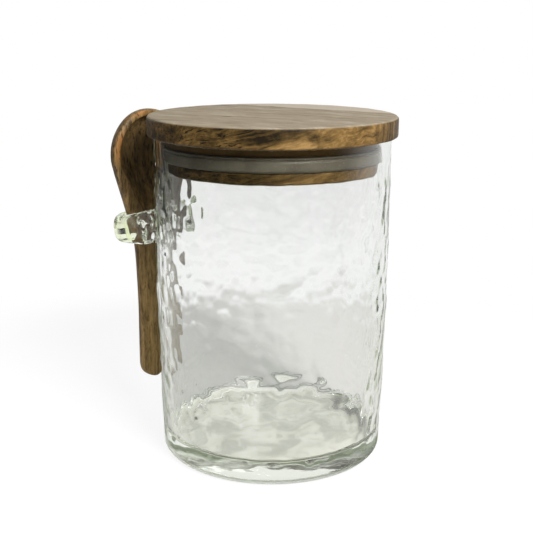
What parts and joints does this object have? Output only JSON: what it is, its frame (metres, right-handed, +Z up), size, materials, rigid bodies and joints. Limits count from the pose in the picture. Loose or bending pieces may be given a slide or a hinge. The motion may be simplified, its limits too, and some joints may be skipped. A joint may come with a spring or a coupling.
{
  "type": "glass canister",
  "caption": "Hammered glass canister with a push-in turned wooden lid, a silicone seal and a wooden spoon hung in a glass loop on its side.",
  "frame": {"origin": "centre of the jar's flat underside, where the canister stands", "axes": "+Z up along the jar's axis, -X towards the glass loop that holds the spoon"},
  "size_m": [0.1507, 0.121, 0.1685],
  "materials": {
    "clear_glass": "clear blown glass with a hammered, dimpled surface",
    "loop_glass": "clear glass strap with a green cast where it is thick, fire-polished",
    "lid_wood": "turned and oiled wood, satin, greyish tan on its sanded top",
    "silicone": "translucent grey silicone, satin",
    "spoon_wood": "carved and oiled dark wood, satin, with a paler rim"
  },
  "bodies": {
    "jar": {"glass_jar": "clear_glass", "spoon_loop": "loop_glass"},
    "lid": {"lid": "lid_wood", "lid_seal": "silicone"},
    "spoon": {"spoon": "spoon_wood"}
  },
  "joints": [
    {"name": "lid_lift", "type": "slide", "parent": "jar", "child": "lid", "axis": [0, 0, 1], "range_m": [0, 0.06]},
    {"name": "spoon_lift", "type": "slide", "parent": "jar", "child": "spoon", "axis": [0, 0, 1], "range_m": [0, 0.105]}
  ]
}
